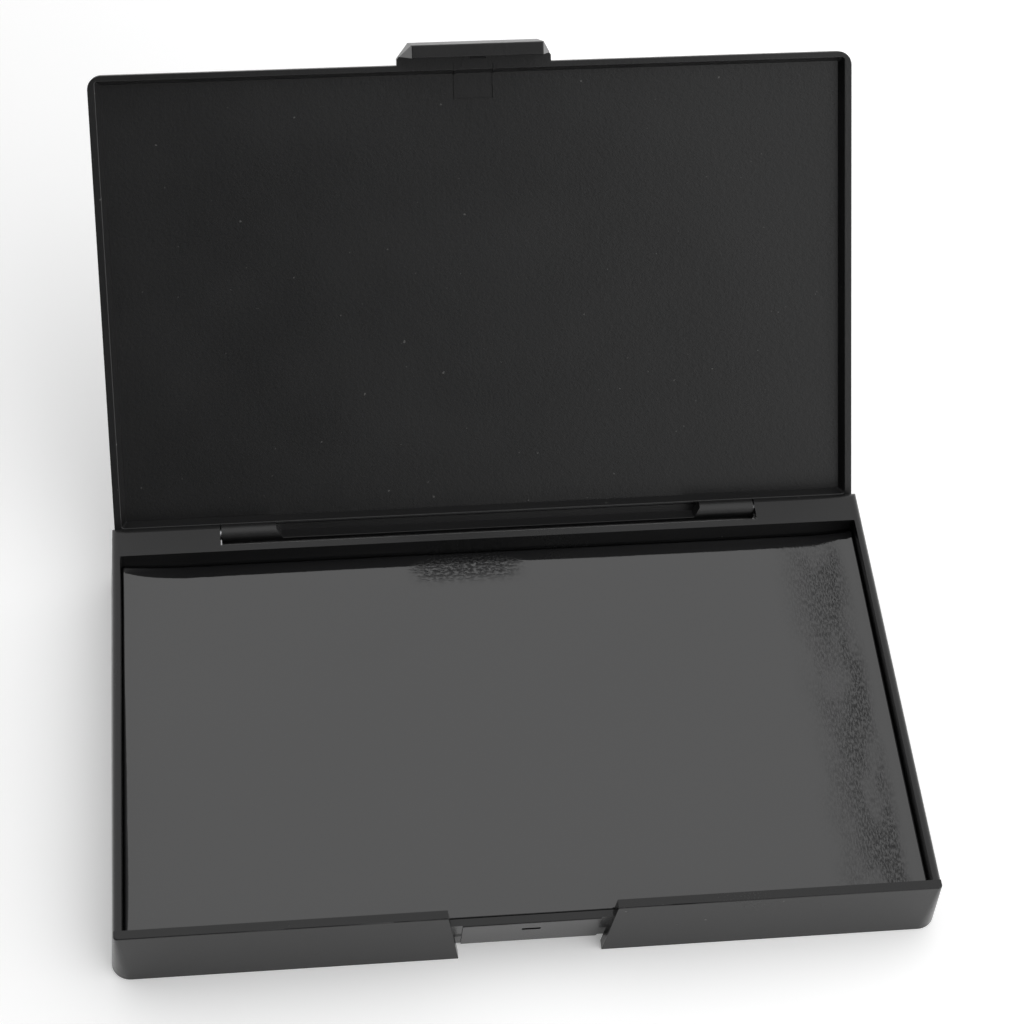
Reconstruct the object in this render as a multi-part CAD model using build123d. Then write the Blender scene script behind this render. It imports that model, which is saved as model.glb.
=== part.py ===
"""Large hinged ink pad: a moulded tray with a cloth-covered felt pad, and a lid on two steel pins.

Millimetres, +Z up, +Y to the back. The parts are drawn with y = 0 at the front of the tray's rim and
the lid shut. They are moved on export: the origin goes to the middle of the tray's underside, and the
lid is turned open until its back edge is almost on the hinge blocks.
"""
import os
from math import cos, radians, sin, tan

from build123d import *

# tray
WIDTH = 165.4
HEIGHT = 16.5
WALL = 1.65
SIDE_DRAFT = 1.5
FRONT_DRAFT = 0.15
CORNER_TOP = 0.8
CORNER_FOOT = 4.0
RIM_ROUND = 1.3
RIM_EDGE = 0.3
WELL_X = WIDTH / 2 - WALL
WELL_FRONT = 1.95
WELL_BACK = 93.3
WELL_CORNER = 0.3
FLOOR_TOP = 7.0
FLOOR_THICK = 1.6
RIB = 1.65
RIB_X = 41.0

# hinge
HINGE_R = 2.3
HINGE_Y = 99.5
HINGE_Z = HEIGHT - HINGE_R
DEPTH = HINGE_Y + HINGE_R
BLOCK_X = 59.3
BLOCK_CORE_TOP = 9.0
PIN_R = 1.2
PIN_FIT = 0.05
PIN_SUNK = 0.4
PIN_REACH = 9.6
PIN_CHAMFER = 0.2
PIN_END_GAP = 0.5
KNUCKLE_GAP = 0.3
KNUCKLE_LENGTH = 12.0
OPEN_ANGLE = 130.0

# front notch and the wall set back in it
NOTCH_TOP = 17.0
NOTCH_BOTTOM = 14.6
GUARD_X = 13.9
GUARD_TOP = 12.0
GUARD_Y_TOP = 0.4
GUARD_Y_BOTTOM = 3.1
GUARD_THICK = 1.4
GUARD_BACK = 2.25
GUARD_EDGE = 0.25
GUARD_STEP = 0.3
CATCH_WIDTH = 3.8
CATCH_HEIGHT = 1.1
CATCH_Z = 8.0
CATCH_DEPTH = 0.5

# pad
PAD_GAP = 0.2
PAD_GAP_FRONT = 0.4
PAD_TOP = 12.05
PAD_CORNER = 0.8
CLOTH = 0.45
PAD_ROUND = 0.6
BOARD = 1.0
ADHESIVE = 0.2
ADHESIVE_INSET = 1.5

# lid
LID_GAP = 0.3
LID_WIDTH = 164.8
LID_FRONT = -0.75
LID_CORNER = 3.0
LID_DEPTH = 2.7
SKIN = 1.7
TOP_ROUND = 1.4
RIM_SIDE = 1.6
RIM_FRONT = 1.25
RIM_BACK_Y = 97.6
RIM_SLOPE = 0.9
MOUTH_CORNER = 0.6
PANEL_CORNER = 0.3
LID_EDGE = 0.2
STOP_GAP = 0.3
NECK = 1.4
NECK_LOW = 1.5
BLADE_TOP = 0.25
BLADE_TIP = 0.75
STEP_FRONT = 1.3
STEP_DEPTH = 0.4
STEP_END = 1.4
STEP_EDGE = 0.2
MARK_X = 4.35
MARK_LENGTH = 5.7
MARK_WIDTH = 0.3
MARK_HEIGHT = 0.2

# latch tab
TAB_X = 16.6
TAB_TIP_X = 13.9
TAB_NOSE_X = 14.0
TAB_SHOULDER = -2.1
TAB_FRONT = -5.4
TAB_TIP = 6.3
TAB_BAR = 2.7
TAB_BACK = 0.2
TAB_EDGE = 0.25
NUB_WIDTH = 3.4
NUB_HEIGHT = 1.0
NUB_REACH = 0.5

LID_BOTTOM = HEIGHT + LID_GAP
PANEL = LID_BOTTOM + LID_DEPTH
LID_TOP = PANEL + SKIN
FLOOR_BOTTOM = FLOOR_TOP - FLOOR_THICK
KNUCKLE_OUT = BLOCK_X - KNUCKLE_GAP
KNUCKLE_IN = KNUCKLE_OUT - KNUCKLE_LENGTH
STRIP_BACK = WELL_BACK + WALL

# how far a cutting shape goes past the face it cuts, and how close two lengths count as the same
PAST = 1.0
FAR = 20.0
SAME = 0.01


def block(x, y, z):
    """A box from its low and high limits on each axis."""
    return Pos(x[0], y[0], z[0]) * Box(
        x[1] - x[0], y[1] - y[0], z[1] - z[0], align=(Align.MIN, Align.MIN, Align.MIN)
    )


def rounded(x, y, z, radius):
    """A box with rounded upright edges."""
    plan = RectangleRounded(x[1] - x[0], y[1] - y[0], radius)
    return Pos((x[0] + x[1]) / 2, (y[0] + y[1]) / 2, z[0]) * extrude(plan, z[1] - z[0])


def across(points, x):
    """A prism along X between two limits, from (y, z) points."""
    face = Plane.YZ * make_face(Polyline(*points, close=True))
    return Pos(x[0], 0, 0) * extrude(face, x[1] - x[0])


def rod(radius, x):
    """A round bar along X on the hinge axis."""
    return Pos(x[0], HINGE_Y, HINGE_Z) * extrude(Plane.YZ * Circle(radius), x[1] - x[0])


def both_sides(shape):
    """The shape with its mirror image across the middle plane."""
    return shape + mirror(shape, Plane.YZ)


def edges_near(solid, z, y):
    """The edges at one height whose middle is between two depths."""
    return [
        edge for edge in solid.edges()
        if abs(edge.center().Z - z) < SAME and y[0] - SAME < edge.center().Y < y[1] + SAME
    ]


def half_width(z):
    """Half the tray's width at one height: its sides spread towards the foot."""
    return WIDTH / 2 + SIDE_DRAFT * (1 - z / HEIGHT)


def tray_body():
    """The tray's outside, with the well, the hollow underside and the rear cut-out."""
    foot = Pos(0, (DEPTH - FRONT_DRAFT) / 2, 0) * RectangleRounded(
        2 * half_width(0), DEPTH + FRONT_DRAFT, CORNER_FOOT
    )
    rim = Pos(0, DEPTH / 2, HEIGHT) * RectangleRounded(WIDTH, DEPTH, CORNER_TOP)
    body = loft([foot.face(), rim.face()], ruled=True)
    body -= rounded((-WELL_X, WELL_X), (WELL_FRONT, WELL_BACK), (FLOOR_TOP, HEIGHT + PAST), WELL_CORNER)
    body -= rounded((-WELL_X, WELL_X), (WELL_FRONT, WELL_BACK), (-PAST, FLOOR_BOTTOM), WELL_CORNER)
    body -= block((-BLOCK_X, BLOCK_X), (STRIP_BACK, DEPTH + PAST), (-PAST, HEIGHT + PAST))
    core = block((BLOCK_X + WALL, WELL_X), (STRIP_BACK, DEPTH - WALL), (-PAST, BLOCK_CORE_TOP))
    return body - both_sides(core)


def side_round():
    """What is taken off the side walls' top edges, which are round from the front wall back."""
    z = HEIGHT - RIM_ROUND
    x = half_width(z) - RIM_ROUND
    corner = block((x, WIDTH / 2 + PAST), (WELL_FRONT, DEPTH + PAST), (z, HEIGHT + PAST))
    bar = extrude(Plane.XZ * Circle(RIM_ROUND), -(DEPTH + FAR))
    return both_sides(corner - Pos(x, 0, z) * bar)


def rear_round():
    """What is taken off the hinge blocks' top rear edge, to leave it round about the hinge axis."""
    corner = block((-WIDTH, WIDTH), (HINGE_Y, DEPTH + PAST), (HINGE_Z, HEIGHT + PAST))
    return corner - rod(HINGE_R, (-WIDTH, WIDTH))


def ribs():
    """Cross ribs under the floor that stand on the table."""
    behind_guard = GUARD_Y_BOTTOM + GUARD_THICK / 2
    solid = block((-WELL_X, WELL_X), (DEPTH / 2 - RIB / 2, DEPTH / 2 + RIB / 2), (0, FLOOR_BOTTOM))
    for x, front in ((-RIB_X, WELL_FRONT), (0, behind_guard), (RIB_X, WELL_FRONT)):
        solid += block((x - RIB / 2, x + RIB / 2), (front, WELL_BACK), (0, FLOOR_BOTTOM))
    return solid


def notch():
    """The opening in the front wall that the lid's tab hangs in: wide at the top, narrow below."""
    slope = (NOTCH_TOP - NOTCH_BOTTOM) / HEIGHT
    low = NOTCH_BOTTOM - slope * PAST
    high = NOTCH_TOP + slope * PAST
    outline = Polyline((-low, -PAST), (low, -PAST), (high, HEIGHT + PAST), (-high, HEIGHT + PAST), close=True)
    return Pos(0, WELL_FRONT, 0) * extrude(Plane.XZ * make_face(outline), WELL_FRONT + PAST)


def guard_face(z):
    """How far back the guard wall's outer face is at one height."""
    return GUARD_Y_BOTTOM + (GUARD_Y_TOP - GUARD_Y_BOTTOM) * z / GUARD_TOP


def guard_slab(set_back, x):
    """A wall from the table to the guard's top, leaning back towards the foot and joined to the floor."""
    points = (
        (GUARD_Y_TOP + set_back, GUARD_TOP), (GUARD_BACK, GUARD_TOP), (GUARD_BACK, FLOOR_TOP),
        (GUARD_BACK + WALL, FLOOR_TOP), (GUARD_BACK + WALL, FLOOR_BOTTOM),
        (GUARD_Y_BOTTOM + GUARD_THICK, 0), (GUARD_Y_BOTTOM + set_back, 0),
    )
    return across(points, (-x, x))


def guard():
    """The wall behind the notch, with the catch: a raised face, and a wing each side to the front wall."""
    wall = guard_slab(0, GUARD_X)
    wall = fillet(edges_near(wall, GUARD_TOP, (GUARD_Y_TOP, GUARD_Y_TOP)), GUARD_EDGE)
    wall += guard_slab(GUARD_STEP, NOTCH_TOP + GUARD_STEP)
    face = guard_face(CATCH_Z)
    slot = block(
        (-CATCH_WIDTH / 2, CATCH_WIDTH / 2), (0, face + CATCH_DEPTH),
        (CATCH_Z - CATCH_HEIGHT / 2, CATCH_Z + CATCH_HEIGHT / 2),
    )
    return wall - slot


def pin_hole(radius):
    """The hole for one hinge pin, right through a block from its outer side."""
    return both_sides(rod(radius, (BLOCK_X - PAST, WIDTH / 2 + PAST)))


def base_tray():
    """The whole tray: walls, well, notch with its guard wall, ribs and pin holes."""
    tray = tray_body() - rear_round() - side_round() - notch()
    tray = fillet(edges_near(tray, HEIGHT, (0, WELL_FRONT / 3)), RIM_EDGE)
    tray += guard()
    tray += ribs()
    return tray - pin_hole(PIN_R)


def pad_stack():
    """The cloth cover, felt, board and adhesive, from the top of the floor up."""
    x = WELL_X - PAD_GAP
    y = (WELL_FRONT + PAD_GAP_FRONT, WELL_BACK - PAD_GAP)
    inner_y = (y[0] + CLOTH, y[1] - CLOTH)
    sheet_top = FLOOR_TOP + ADHESIVE
    board_top = sheet_top + BOARD
    cover = rounded((-x, x), y, (sheet_top, PAD_TOP), PAD_CORNER)
    cover = fillet(cover.faces().sort_by(Axis.Z)[-1].edges(), PAD_ROUND)
    filling = rounded((CLOTH - x, x - CLOTH), inner_y, (sheet_top, PAD_TOP - CLOTH), PAD_CORNER - CLOTH)
    filling = fillet(filling.faces().sort_by(Axis.Z)[-1].edges(), PAD_ROUND - CLOTH)
    under = block((-WIDTH, WIDTH), (-PAST, DEPTH), (0, board_top))
    edge = x - ADHESIVE_INSET
    sheet_y = (y[0] + ADHESIVE_INSET, y[1] - ADHESIVE_INSET)
    return {
        "pad_cloth_cover": cover - filling,
        "pad_felt_core": filling - under,
        "pad_backing_board": filling & under,
        "adhesive_sheet": block((-edge, edge), sheet_y, (FLOOR_TOP, sheet_top)),
    }


def hinge_pin(side):
    """A steel pin, pressed into a block from its outer side, that a knuckle turns on."""
    limits = (KNUCKLE_OUT - PIN_REACH, half_width(HINGE_Z) - PIN_SUNK)
    pin = rod(PIN_R, limits)
    pin = chamfer(pin.edges().filter_by(GeomType.CIRCLE), PIN_CHAMFER)
    return pin if side > 0 else mirror(pin, Plane.YZ)


def lid_shell_blank():
    """The lid's flat box, open below, with inner faces that slope in to the panel."""
    half = LID_WIDTH / 2
    blank = rounded((-half, half), (LID_FRONT, DEPTH), (LID_BOTTOM, LID_TOP), LID_CORNER)
    blank = fillet(blank.faces().sort_by(Axis.Z)[-1].edges(), TOP_ROUND)
    blank = fillet(blank.faces().sort_by(Axis.Z)[0].edges(), LID_EDGE)
    x = half - RIM_SIDE
    y = (LID_FRONT + RIM_FRONT, RIM_BACK_Y)
    mouth = Pos(0, sum(y) / 2, LID_BOTTOM) * RectangleRounded(2 * x, y[1] - y[0], MOUTH_CORNER)
    roof = Pos(0, sum(y) / 2, PANEL) * RectangleRounded(
        2 * (x - RIM_SLOPE), y[1] - y[0] - 2 * RIM_SLOPE, PANEL_CORNER
    )
    shell = blank - loft([mouth.face(), roof.face()], ruled=True)
    return fillet(shell.faces().sort_by(Axis.Z)[0].inner_wires()[0].edges(), LID_EDGE)


def stop_wedge():
    """What is taken off the lid's back edge above a block, to leave the face that stops it open."""
    turn = radians(180 - OPEN_ANGLE)
    reach = HINGE_R + STOP_GAP

    def y_at(height):
        return HINGE_Y + (height * sin(radians(OPEN_ANGLE)) - reach) / cos(turn)

    low = LID_BOTTOM - PAST
    high = LID_TOP + PAST
    points = (
        (y_at(low - HINGE_Z), low), (DEPTH + FAR, low), (DEPTH + FAR, high), (y_at(high - HINGE_Z), high),
    )
    return across(points, (KNUCKLE_OUT, WIDTH))


def hinge_bar():
    """The round bar between the blocks, whole, with the neck that joins it to the lid."""
    bar = rod(HINGE_R, (-KNUCKLE_OUT, KNUCKLE_OUT))
    top = LID_BOTTOM + PAST
    front = HINGE_Y - NECK
    neck = ((front, HINGE_Z + NECK_LOW), (front, top), (DEPTH, top), (DEPTH, HINGE_Z), (HINGE_Y, HINGE_Z))
    return bar + across(neck, (-KNUCKLE_OUT, KNUCKLE_OUT))


def bar_cut():
    """The two-step cut along the bar, with slanted ends, that leaves it whole only at the knuckles."""
    step_top = LID_BOTTOM + STEP_DEPTH
    low = HINGE_Z - HINGE_R
    drop = step_top - low
    tip = HINGE_Y + BLADE_TIP
    step = HINGE_Y - STEP_FRONT
    front = HINGE_Y - 2 * HINGE_R
    points = (
        (step, step_top), (HINGE_Y + BLADE_TOP, step_top), (tip, low + STEP_EDGE), (tip + STEP_EDGE, low),
        (tip + STEP_EDGE, low - PAST), (front, low - PAST), (front, LID_BOTTOM),
        (step - STEP_EDGE, LID_BOTTOM), (step, LID_BOTTOM + STEP_EDGE),
    )
    cut = across(points, (-KNUCKLE_IN, KNUCKLE_IN))
    back = tip + HINGE_R
    inner = KNUCKLE_IN - STEP_END
    plan = Polyline(
        (KNUCKLE_IN, front), (KNUCKLE_IN, step), (inner, tip), (inner, back), (-inner, back), (-inner, tip),
        (-KNUCKLE_IN, step), (-KNUCKLE_IN, front), close=True,
    )
    return cut & (Pos(0, 0, low - PAST) * extrude(make_face(plan), drop + 2 * PAST))


def tab():
    """The latch tab: a bar that hangs from the lid's front edge, with a low nub on its inner side."""
    plan = Polyline(
        (-TAB_X, TAB_BACK), (-TAB_X, TAB_SHOULDER), (-TAB_NOSE_X, TAB_FRONT), (TAB_NOSE_X, TAB_FRONT),
        (TAB_X, TAB_SHOULDER), (TAB_X, TAB_BACK), close=True,
    )
    body = Pos(0, 0, TAB_TIP) * extrude(make_face(plan), LID_TOP - TAB_TIP)
    body = fillet(edges_near(body, LID_TOP, (TAB_FRONT, TAB_BACK - 2 * SAME)), TOP_ROUND)
    front = Polyline(
        (-TAB_TIP_X, TAB_TIP), (TAB_TIP_X, TAB_TIP), (TAB_X, LID_BOTTOM), (TAB_X, LID_TOP + PAST),
        (-TAB_X, LID_TOP + PAST), (-TAB_X, LID_BOTTOM), close=True,
    )
    body &= Pos(0, PAST, 0) * extrude(Plane.XZ * make_face(front), PAST - TAB_FRONT + PAST)
    inner = TAB_FRONT + TAB_BAR
    body -= block((-WIDTH, WIDTH), (inner, PAST), (TAB_TIP - PAST, LID_BOTTOM))
    body = fillet(edges_near(body, TAB_TIP, (TAB_FRONT, TAB_BACK)), TAB_EDGE)
    nub = (
        (inner, CATCH_Z - NUB_HEIGHT), (inner + NUB_REACH, CATCH_Z - NUB_HEIGHT / 2),
        (inner + NUB_REACH, CATCH_Z + NUB_HEIGHT / 4), (inner, CATCH_Z + NUB_HEIGHT),
    )
    return body + across(nub, (-NUB_WIDTH / 2, NUB_WIDTH / 2))


def mould_mark():
    """A low ridge round the patch behind the tab: over the rim, down its slope and onto the panel."""
    rim_back = LID_FRONT + RIM_FRONT
    panel_front = rim_back + RIM_SLOPE
    back = panel_front + MARK_LENGTH
    line = (
        (LID_FRONT, LID_BOTTOM - MARK_HEIGHT), (rim_back + MARK_HEIGHT, LID_BOTTOM - MARK_HEIGHT),
        (panel_front + MARK_HEIGHT, PANEL - MARK_HEIGHT), (back, PANEL - MARK_HEIGHT),
        (back, PANEL + SKIN / 2), (LID_FRONT, PANEL + SKIN / 2),
    )
    sides = both_sides(across(line, (MARK_X - MARK_WIDTH, MARK_X)))
    end = block((-MARK_X, MARK_X), (back - MARK_WIDTH, back), (PANEL - MARK_HEIGHT, PANEL + SKIN / 2))
    return sides + end


def lid_shell():
    """The whole lid, shut: box, stop faces, hinge bar with its bores, tab and moulding mark."""
    lid = lid_shell_blank()
    lid -= both_sides(stop_wedge())
    lid += hinge_bar()
    lid -= bar_cut()
    lid += tab()
    lid += mould_mark()
    bore = rod(PIN_R + PIN_FIT, (KNUCKLE_OUT - PIN_REACH - PIN_END_GAP, BLOCK_X))
    return lid - both_sides(bore)


def main():
    """Builds every piece and writes it where it stands with the lid open."""
    os.makedirs("parts", exist_ok=True)
    nodes = {"base_tray": base_tray(), **pad_stack()}
    nodes["hinge_pin_left"] = hinge_pin(-1)
    nodes["hinge_pin_right"] = hinge_pin(1)
    opened = Pos(0, HINGE_Y, HINGE_Z) * Rot(-OPEN_ANGLE, 0, 0) * Pos(0, -HINGE_Y, -HINGE_Z)
    nodes["lid_shell"] = opened * lid_shell()
    for name, shape in nodes.items():
        placed = Pos(0, -DEPTH / 2, 0) * shape
        export_step(placed, f"parts/{name}.step")
        print(name, "solids", len(placed.solids()), "volume", round(placed.volume, 1))


main()
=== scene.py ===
import math

import bpy
import numpy as np
from mathutils import Matrix, Vector, noise


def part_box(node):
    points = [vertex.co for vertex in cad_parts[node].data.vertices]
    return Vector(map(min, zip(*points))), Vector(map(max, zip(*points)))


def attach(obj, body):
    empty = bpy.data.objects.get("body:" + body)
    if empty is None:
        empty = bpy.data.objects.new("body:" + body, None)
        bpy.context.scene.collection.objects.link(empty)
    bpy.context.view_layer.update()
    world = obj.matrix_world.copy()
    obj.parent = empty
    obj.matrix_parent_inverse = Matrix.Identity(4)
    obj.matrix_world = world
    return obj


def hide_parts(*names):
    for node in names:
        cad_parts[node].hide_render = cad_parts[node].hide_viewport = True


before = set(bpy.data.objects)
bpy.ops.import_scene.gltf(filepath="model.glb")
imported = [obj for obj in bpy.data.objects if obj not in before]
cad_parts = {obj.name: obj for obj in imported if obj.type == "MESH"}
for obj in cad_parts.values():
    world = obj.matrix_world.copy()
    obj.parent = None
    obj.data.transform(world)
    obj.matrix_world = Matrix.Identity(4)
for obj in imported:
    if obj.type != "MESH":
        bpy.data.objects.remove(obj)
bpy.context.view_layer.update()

MM = 0.001

# camera
CAMERA_AT = Vector((-0.04744, -0.29864, 0.47295))
CAMERA_AIM = Vector((0.00508, 0.04926, 0.0165))
CAMERA_ROLL = math.radians(4.02)
LENS_MM = 91.5
SENSOR_MM = 36.0
NEAREST_SEEN = 0.01

# light: a sky with one brighter and one dark part, and a floor that glows more to the right
SKY = 1.12
BRIGHT_WAY = Vector((0.55, -0.75, 0.35))
BRIGHT_SPAN = (0.3, 0.9)
BRIGHT_ADDS = 0.45
DARK_WAY = Vector((-0.58, -0.70, 0.42))
DARK_SPAN = (0.48, 0.82)
DARKEST = 0.03
FLOOR_HALF = 1.5
FLOOR_WHITE = (0.97, 0.97, 0.97, 1)
GLOW_COLOUR = (1, 1, 1, 1)
GLOW_REACH = 0.16
GLOW = (0.12, 0.34)

# noise: most of its values lie in this span, and scales and stretches are about features per metre
MOST_NOISE = (0.3, 0.7)

# plastic of the tray and of the lid
CASE = {
    "grain_scale": 2600, "grain_depth": 0.012 * MM, "rough": (0.20, 0.28),
    "dark": (0.0085, 0.0085, 0.0088), "light": (0.0125, 0.0125, 0.0128),
}
CASE_IOR = 1.42
LID = {
    "grain_scale": 2100, "grain_depth": 0.03 * MM, "rough": (0.32, 0.40),
    "dark": (0.0065, 0.0065, 0.0068), "light": (0.0095, 0.0095, 0.0098),
}
LID_IOR = 1.52
SLOW_SCALE = 28
COARSE_TO_FINE = 0.37
FINE_IN_GLOSS = 0.4
FINE_IN_HEIGHT = 0.6
GLOSS_SPAN = (0.4, 1.0)
DUST_SCALE = 900
DUST_LEVEL = (0.795, 0.81)
DUST_COLOUR = (0.16, 0.16, 0.155)
DUST_COVER = 0.5

# ink film on the cloth, and where it is thin: a band down the right side and a patch at the back
INK_IOR = 1.75
INK_COLOURS = ((0.010, 0.010, 0.0105), (0.015, 0.015, 0.0155))
INK_ROUGH = (0.035, 0.06)
BAND_RISE = (60 * MM, 74 * MM)
BAND_FALL = (75.5 * MM, 79 * MM)
PATCH_LEFT = (-20 * MM, -13 * MM)
PATCH_RIGHT = (1 * MM, 9 * MM)
PATCH_FRONT = (32.5 * MM, 37.5 * MM)
BLOTCH_STRETCH = (150, 60, 0)
BLOTCH_SPAN = (0.36, 0.58)
BLOTCH_LEAST = 0.3
STREAK_STRETCH = (3600, 900, 0)
STREAK_SPAN = (0.38, 0.60)
FLECK_STRETCH = (900, 1600, 0)
FLECK_SPAN = (0.42, 0.60)
BARE_ROUGH = 0.2
WET_SHINE = 0.5
BARE_DULL = 0.36
BARE_DEPTH = 0.02 * MM
INK_SLOW_SCALE = 18
THREADS_ACROSS = (1500, 330, 1500)
THREADS_ALONG = (330, 1500, 1500)
ALONG_SHARE = 0.45
THREAD_DEPTH = 0.006 * MM

# the other materials
FELT_STRETCH = (900, 900, 2400)
FELT_SCALE = 120
FELT_DEPTH = 0.2 * MM
BOARD = {
    "scale": 160, "dark": (0.024, 0.024, 0.025), "light": (0.045, 0.045, 0.046),
    "rough": (0.45, 0.6), "depth": 0.03 * MM,
}
ADHESIVE = {
    "scale": 220, "dark": (0.24, 0.23, 0.21), "light": (0.36, 0.35, 0.32),
    "rough": (0.35, 0.5), "depth": 0.04 * MM,
}
STEEL_STRETCH = (60, 5200, 5200)
STEEL_DEPTH = 0.008 * MM

# cloth cover of the pad
CLOTH = 0.45 * MM
EDGE_ROUND = 0.6 * MM
CELL = 1.0 * MM
ROUND_STEPS = 6
SIDE_STEPS = 6
CROWN = 0.16 * MM
CROWN_REACH = 11 * MM
WAVE = 0.14 * MM
WAVE_LENGTH = 34 * MM
LIFT = 1.1 * MM
LIFT_REACH = {-1: 15 * MM, 1: 10 * MM}
SIDE_LIFT = 1.3 * MM
SIDE_REACH = 6 * MM
SEED = Vector((3.1, 7.7, 1.3))
TINY = 1e-9


# ---------------------------------------------------------------- nodes

class Tree:
    """A node tree with short calls for the few kinds of node that the materials use."""

    MIX_FACTOR, MIX_LOW, MIX_HIGH, MIX_RESULT = 0, 6, 7, 2

    def __init__(self, tree):
        self.tree = tree
        tree.nodes.clear()

    def add(self, kind, inputs=(), **settings):
        """A node with its settings, and each input either linked to a socket or set to a value."""
        node = self.tree.nodes.new(kind)
        for key, value in settings.items():
            setattr(node, key, value)
        for key, value in dict(inputs).items():
            if isinstance(value, bpy.types.NodeSocket):
                self.tree.links.new(value, node.inputs[key])
            else:
                node.inputs[key].default_value = value
        return node

    def math(self, operation, a, b, c=0.0, clamp=False):
        """The result of a Math node. Only some operations use c."""
        return self.add("ShaderNodeMath", {0: a, 1: b, 2: c}, operation=operation, use_clamp=clamp).outputs[0]

    def span(self, value, low, high, to_low=0.0, to_high=1.0):
        """value from low..high to to_low..to_high, smooth and clamped."""
        return self.add(
            "ShaderNodeMapRange",
            {"Value": value, "From Min": low, "From Max": high, "To Min": to_low, "To Max": to_high},
            interpolation_type="SMOOTHSTEP",
        ).outputs["Result"]

    def place(self, scale=(1, 1, 1)):
        """The point on the piece at rest, in metres, stretched by scale."""
        coords = self.add("ShaderNodeTexCoord").outputs["Object"]
        return self.add("ShaderNodeMapping", {"Vector": coords, "Scale": scale}).outputs["Vector"]

    def noise(self, where, scale, detail=3.0, roughness=0.55):
        """Noise from 0 to 1, mostly near the middle."""
        inputs = {"Vector": where, "Scale": scale, "Detail": detail, "Roughness": roughness}
        return self.add("ShaderNodeTexNoise", inputs).outputs["Fac"]

    def mix(self, fac, low, high):
        """A colour from low to high, each of them a socket or three numbers."""
        colours = [
            colour if isinstance(colour, bpy.types.NodeSocket) else (*colour, 1) for colour in (low, high)
        ]
        inputs = {self.MIX_FACTOR: fac, self.MIX_LOW: colours[0], self.MIX_HIGH: colours[1]}
        return self.add("ShaderNodeMix", inputs, data_type="RGBA").outputs[self.MIX_RESULT]

    def bump(self, height, distance, normal=None):
        """A normal from a height, on top of another bump's normal if one is given."""
        inputs = {"Height": height, "Distance": distance, "Strength": 1.0}
        if normal is not None:
            inputs["Normal"] = normal
        return self.add("ShaderNodeBump", inputs).outputs["Normal"]


def material(name, build, **fixed):
    """A Principled material: fixed values are set on the shader, build(tree) gives the linked ones."""
    made = bpy.data.materials.new(name)
    made.use_nodes = True
    tree = Tree(made.node_tree)
    shader = tree.add("ShaderNodeBsdfPrincipled")
    for key, value in fixed.items():
        shader.inputs[key].default_value = value
    for key, socket in build(tree).items():
        made.node_tree.links.new(socket, shader.inputs[key])
    tree.add("ShaderNodeOutputMaterial", {"Surface": shader.outputs[0]})
    return made


# ---------------------------------------------------------------- materials

def moulded_plastic(grain_scale, grain_depth, rough, dark, light):
    """Black moulded plastic: fine grain, slow changes of gloss, and a few specks of dust."""
    def build(tree):
        at = tree.place()
        slow = tree.noise(at, SLOW_SCALE, 4)
        fine = tree.noise(at, grain_scale, 2)
        coarse = tree.noise(at, grain_scale * COARSE_TO_FINE, 4, 0.7)
        dust = tree.span(tree.noise(at, DUST_SCALE, 1, 0.4), *DUST_LEVEL)
        colour = tree.mix(slow, dark, light)
        colour = tree.mix(tree.math("MULTIPLY", dust, DUST_COVER), colour, DUST_COLOUR)
        gloss = tree.math("ADD", slow, tree.math("MULTIPLY", fine, FINE_IN_GLOSS))
        height = tree.math("ADD", tree.math("MULTIPLY", fine, FINE_IN_HEIGHT), coarse)
        return {
            "Base Color": colour, "Roughness": tree.span(gloss, *GLOSS_SPAN, *rough),
            "Normal": tree.bump(height, grain_depth),
        }
    return build


def thin_film(tree, x, y):
    """Where the ink film is thin, from 0 to 1: streaks in the band, flecks in the patch."""
    band = tree.math("MULTIPLY", tree.span(x, *BAND_RISE), tree.span(x, *BAND_FALL, 1.0, 0.0))
    blotch = tree.noise(tree.place(BLOTCH_STRETCH), 1.0, 3, 0.6)
    blotch = tree.span(blotch, *BLOTCH_SPAN, BLOTCH_LEAST, 1.0)
    lines = tree.span(tree.noise(tree.place(STREAK_STRETCH), 1.0, 2, 0.7), *STREAK_SPAN)
    streaks = tree.math("MULTIPLY", tree.math("MULTIPLY", band, blotch), lines)
    sides = tree.math("MULTIPLY", tree.span(x, *PATCH_LEFT), tree.span(x, *PATCH_RIGHT, 1.0, 0.0))
    patch = tree.math("MULTIPLY", sides, tree.span(y, *PATCH_FRONT))
    mottle = tree.span(tree.noise(tree.place(FLECK_STRETCH), 1.0, 3, 0.6), *FLECK_SPAN)
    flecks = tree.math("MULTIPLY", patch, mottle)
    return tree.math("ADD", streaks, flecks, clamp=True)


def inked_cloth(tree):
    """Woven cloth under a wet film of black ink, duller and rougher where the film is thin."""
    at = tree.place()
    slow = tree.noise(at, INK_SLOW_SCALE, 3)
    across = tree.noise(tree.place(THREADS_ACROSS), 1.0, 2, 0.6)
    along = tree.noise(tree.place(THREADS_ALONG), 1.0, 2, 0.6)
    threads = tree.math("ADD", across, tree.math("MULTIPLY", along, ALONG_SHARE))
    split = tree.add("ShaderNodeSeparateXYZ", {"Vector": at})
    bare = thin_film(tree, split.outputs["X"], split.outputs["Y"])
    wet_rough = tree.span(slow, *MOST_NOISE, *INK_ROUGH)
    weave = tree.bump(threads, THREAD_DEPTH)
    return {
        "Base Color": tree.mix(slow, *INK_COLOURS),
        "Roughness": tree.math("ADD", wet_rough, tree.math("MULTIPLY", bare, BARE_ROUGH)),
        "Specular IOR Level": tree.math("SUBTRACT", WET_SHINE, tree.math("MULTIPLY", bare, BARE_DULL)),
        "Normal": tree.bump(bare, BARE_DEPTH, weave),
    }


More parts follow.
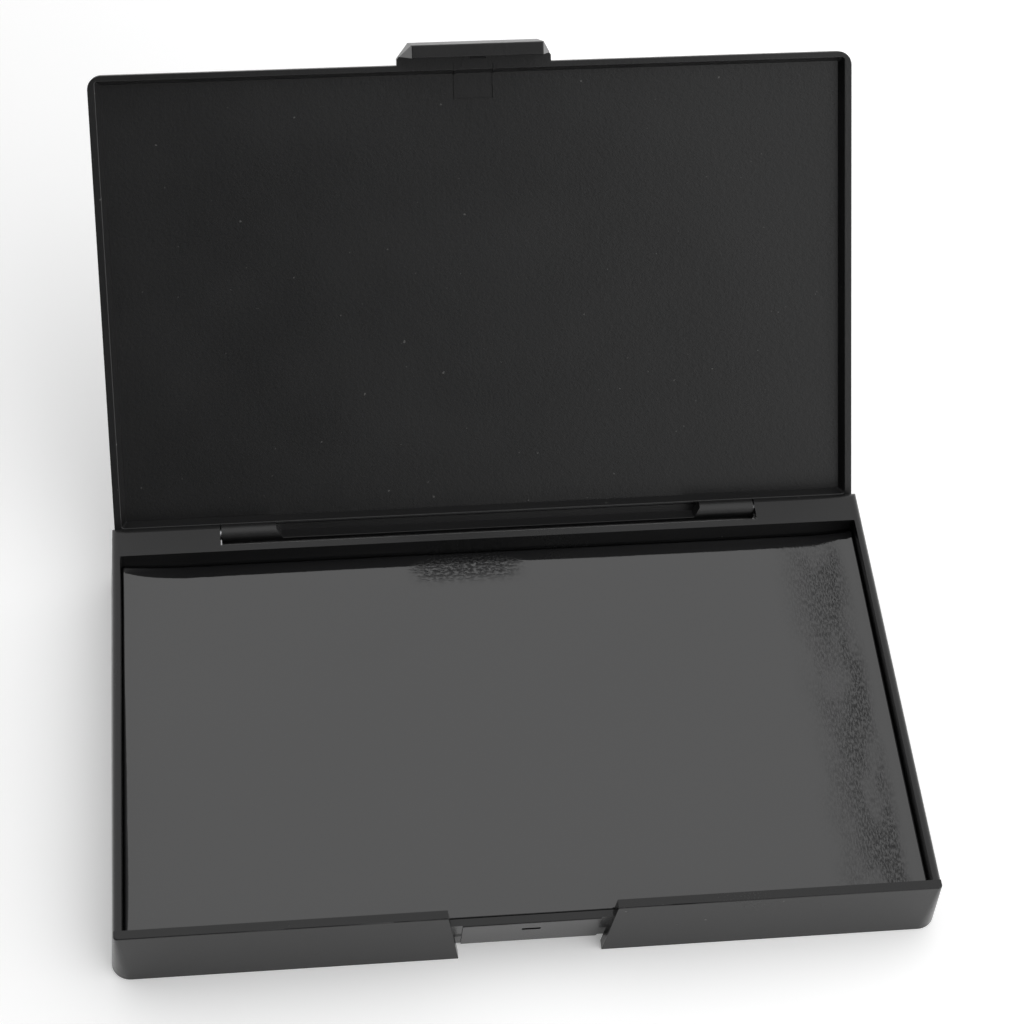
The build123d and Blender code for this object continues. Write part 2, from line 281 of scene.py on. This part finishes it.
def felt(tree):
    """Matted fibres, dark with ink."""
    fibre = tree.noise(tree.place(FELT_STRETCH), 1.0, 5, 0.7)
    return {
        "Base Color": tree.mix(fibre, (0.008, 0.008, 0.009), (0.026, 0.026, 0.028)),
        "Roughness": tree.span(tree.noise(tree.place(), FELT_SCALE), *MOST_NOISE, 0.75, 0.95),
        "Normal": tree.bump(fibre, FELT_DEPTH),
    }


def mottled(scale, dark, light, rough, depth):
    """An even material with small mottling in its colour, gloss and height."""
    def build(tree):
        mottle = tree.noise(tree.place(), scale, 4)
        return {
            "Base Color": tree.mix(mottle, dark, light),
            "Roughness": tree.span(mottle, *MOST_NOISE, *rough),
            "Normal": tree.bump(mottle, depth),
        }
    return build


def drawn_steel(tree):
    """Wire drawn along X, with fine lines that run its length."""
    lines = tree.noise(tree.place(STEEL_STRETCH), 1.0, 3, 0.6)
    return {
        "Base Color": tree.mix(lines, (0.42, 0.43, 0.44), (0.66, 0.67, 0.68)),
        "Roughness": tree.span(lines, *MOST_NOISE, 0.22, 0.38),
        "Normal": tree.bump(lines, STEEL_DEPTH),
    }


def dress_nodes():
    """Materials for the CAD nodes, by node name."""
    steel = material("drawn_steel", drawn_steel, Metallic=1.0)
    looks = {
        "base_tray": material("case_plastic", moulded_plastic(**CASE), IOR=CASE_IOR),
        "lid_shell": material("lid_plastic", moulded_plastic(**LID), IOR=LID_IOR),
        "pad_felt_core": material("ink_felt", felt),
        "pad_backing_board": material("backing_board", mottled(**BOARD)),
        "adhesive_sheet": material("adhesive", mottled(**ADHESIVE)),
        "hinge_pin_left": steel,
        "hinge_pin_right": steel,
    }
    for name, look in looks.items():
        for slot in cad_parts[name].material_slots:
            slot.material = look


# ---------------------------------------------------------------- pad cloth

def edge_spaced(half, radius):
    """Coordinates from -half to half: even in the middle, closer together round the edge."""
    turn = np.linspace(0, math.pi / 2, ROUND_STEPS + 1)
    middle = np.linspace(radius - half, half - radius, 1 + round(2 * (half - radius) / CELL))
    rounding = half - radius + radius * np.sin(turn[1:])
    return np.concatenate([-rounding[::-1], middle, rounding])


def round_top(half, radius, top, swell):
    """Points and faces of a flat top with round edges, and the ring of points at its lower edge.

    swell(x, y) gives how far the top stands off its plane."""
    xs, ys = edge_spaced(half[0], radius), edge_spaced(half[1], radius)
    gx, gy = np.meshgrid(xs, ys, indexing="ij")
    dx = np.maximum(np.abs(gx) - (half[0] - radius), 0)
    dy = np.maximum(np.abs(gy) - (half[1] - radius), 0)
    far, reach = np.hypot(dx, dy), np.maximum(dx, dy)
    pull = np.where(far > TINY, reach / np.maximum(far, TINY), 0)
    px = np.sign(gx) * (np.minimum(np.abs(gx), half[0] - radius) + dx * pull)
    py = np.sign(gy) * (np.minimum(np.abs(gy), half[1] - radius) + dy * pull)
    pz = top - radius + np.sqrt(np.maximum(radius ** 2 - reach ** 2, 0)) + swell(px, py)
    nx, ny = len(xs), len(ys)
    faces = [
        (i * ny + j, (i + 1) * ny + j, (i + 1) * ny + j + 1, i * ny + j + 1)
        for i in range(nx - 1) for j in range(ny - 1)
    ]
    ring = (
        [i * ny for i in range(nx - 1)] + [(nx - 1) * ny + j for j in range(ny - 1)]
        + [i * ny + ny - 1 for i in range(nx - 1, 0, -1)] + list(range(ny - 1, 0, -1))
    )
    return np.stack([px, py, pz], -1).reshape(-1, 3), faces, ring


def cap(half, radius, top, bottom, swell):
    """Points and faces of a cap, a round top with straight sides and open below, and its last ring."""
    points, faces, ring = round_top(half, radius, top, swell)
    start = points[ring]
    count = len(ring)
    rows = [points]
    for step in range(1, SIDE_STEPS + 1):
        row = start.copy()
        row[:, 2] += (bottom - start[:, 2]) * step / SIDE_STEPS
        base = sum(len(r) for r in rows)
        new = list(range(base, base + count))
        faces += [(ring[(k + 1) % count], ring[k], new[k], new[(k + 1) % count]) for k in range(count)]
        rows.append(row)
        ring = new
    return np.concatenate(rows), faces, ring


def bridge(points, outer, inner):
    """Triangles that join two closed rings of different counts."""
    def angles(ring):
        spot = points[ring]
        return np.arctan2(spot[:, 1] - spot[:, 1].mean(), spot[:, 0] - spot[:, 0].mean())
    faces = []
    i = j = 0
    turn_outer, turn_inner = np.unwrap(angles(outer)), np.unwrap(angles(inner))
    count_outer, count_inner = len(outer), len(inner)
    while i < count_outer or j < count_inner:
        next_outer = turn_outer[i + 1] if i + 1 < count_outer else turn_outer[0] + 2 * math.pi
        next_inner = turn_inner[j + 1] if j + 1 < count_inner else turn_inner[0] + 2 * math.pi
        a, b = outer[i % count_outer], inner[j % count_inner]
        if j >= count_inner or (i < count_outer and next_outer <= next_inner):
            faces.append((a, b, outer[(i + 1) % count_outer]))
            i += 1
        else:
            faces.append((a, b, inner[(j + 1) % count_inner]))
            j += 1
    return faces


def pad_cloth():
    """Points and faces of the cloth: a closed skin over the felt, with a slight crown, slow waves,
    and lifted back corners and right edge."""
    low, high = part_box("pad_cloth_cover")
    middle = (low + high) / 2
    half = (high - low) / 2

    def lift(x, y):
        """How far the cloth stands up at its two back corners, where it is folded over the felt, and
        along its right edge."""
        total = 0 * x
        for side, reach in LIFT_REACH.items():
            away = np.hypot(side * half.x - x, half.y - y) / reach
            total = total + LIFT * np.clip(1 - away, 0, 1) ** 2
        right = np.clip(1 - (half.x - x) / SIDE_REACH, 0, 1) ** 2
        return np.maximum(total, SIDE_LIFT * right)

    def swell(x, y):
        """How far the outer face stands off its plane in all."""
        edge = np.minimum(half.x - np.abs(x), half.y - np.abs(y))
        crown = CROWN * (1 - (1 - np.clip(edge / CROWN_REACH, 0, 1)) ** 2) - CROWN / 2
        wave = np.array([
            noise.noise(Vector((a / WAVE_LENGTH, b / WAVE_LENGTH, 0)) + SEED)
            for a, b in zip(x.ravel(), y.ravel())
        ]).reshape(x.shape)
        fade = np.clip(edge / EDGE_ROUND, 0, 1)
        return (crown + 2 * WAVE * wave) * fade + lift(x, y)

    outer, faces, outer_ring = cap((half.x, half.y), EDGE_ROUND, high.z, low.z, swell)
    inner, inner_faces, inner_ring = cap(
        (half.x - CLOTH, half.y - CLOTH), EDGE_ROUND - CLOTH, high.z - CLOTH, low.z, lambda x, y: 0 * x
    )
    shift = len(outer)
    points = np.concatenate([outer, inner]) + np.array((middle.x, middle.y, 0))
    faces += [tuple(shift + k for k in reversed(face)) for face in inner_faces]
    faces += bridge(points, outer_ring, [shift + k for k in inner_ring])
    return points, faces


def add_mesh(name, points, faces, look):
    """A smooth mesh object in the scene, with one material."""
    mesh = bpy.data.meshes.new(name)
    mesh.from_pydata([tuple(p) for p in points], [], faces)
    mesh.validate()
    mesh.shade_smooth()
    mesh.materials.append(look)
    made = bpy.data.objects.new(name, mesh)
    bpy.context.scene.collection.objects.link(made)
    return made


# ---------------------------------------------------------------- stage

def floor():
    """A plain pale floor, far larger than the view, that glows more to the right."""
    look = bpy.data.materials.new("floor")
    look.use_nodes = True
    tree = Tree(look.node_tree)
    diffuse = tree.add("ShaderNodeBsdfDiffuse", {"Color": FLOOR_WHITE})
    across = tree.add("ShaderNodeSeparateXYZ", {"Vector": tree.place()}).outputs["X"]
    strength = tree.span(across, -GLOW_REACH, GLOW_REACH, *GLOW)
    glow = tree.add("ShaderNodeEmission", {"Color": GLOW_COLOUR, "Strength": strength})
    both = tree.add("ShaderNodeAddShader", {0: diffuse.outputs[0], 1: glow.outputs[0]})
    tree.add("ShaderNodeOutputMaterial", {"Surface": both.outputs[0]})
    corners = [
        (-FLOOR_HALF, -FLOOR_HALF, 0), (FLOOR_HALF, -FLOOR_HALF, 0),
        (FLOOR_HALF, FLOOR_HALF, 0), (-FLOOR_HALF, FLOOR_HALF, 0),
    ]
    made = add_mesh("floor", corners, [(0, 1, 2, 3)], look)


def studio():
    """A white tent as the world: even above and behind, brightest at the front right, dark at the
    front left."""
    world = bpy.data.worlds.new("studio")
    world.use_nodes = True
    bpy.context.scene.world = world
    tree = Tree(world.node_tree)
    coords = tree.add("ShaderNodeTexCoord").outputs["Generated"]

    def toward(way, low, high):
        """From 0 to 1 as the direction turns towards way."""
        inputs = {0: coords, 1: way.normalized()}
        turned = tree.add("ShaderNodeVectorMath", inputs, operation="DOT_PRODUCT")
        return tree.span(turned.outputs["Value"], low, high)

    open_sky = tree.math("MULTIPLY_ADD", toward(BRIGHT_WAY, *BRIGHT_SPAN), BRIGHT_ADDS, SKY)
    level = tree.math("MULTIPLY", open_sky, tree.math("SUBTRACT", 1.0, toward(DARK_WAY, *DARK_SPAN)))
    level = tree.math("MAXIMUM", level, DARKEST)
    back = tree.add("ShaderNodeBackground", {"Color": (1, 1, 1, 1), "Strength": level})
    tree.add("ShaderNodeOutputWorld", {"Surface": back.outputs[0]})


def camera():
    """The camera, which looks down from in front and is turned a little about its own axis."""
    data = bpy.data.cameras.new("camera")
    data.lens = LENS_MM
    data.sensor_width = SENSOR_MM
    data.clip_start = NEAREST_SEEN
    made = bpy.data.objects.new("camera", data)
    look = (CAMERA_AIM - CAMERA_AT).to_track_quat("-Z", "Y").to_matrix().to_4x4()
    made.matrix_world = Matrix.Translation(CAMERA_AT) @ look @ Matrix.Rotation(CAMERA_ROLL, 4, "Z")
    bpy.context.scene.collection.objects.link(made)
    bpy.context.scene.camera = made


# ---------------------------------------------------------------- build

camera()
studio()
floor()
dress_nodes()

points, faces = pad_cloth()
cloth = add_mesh("pad_cloth", points, faces, material("inked_cloth", inked_cloth, IOR=INK_IOR))
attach(cloth, "base")
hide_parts("pad_cloth_cover")

bpy.context.scene.view_settings.view_transform = "Standard"
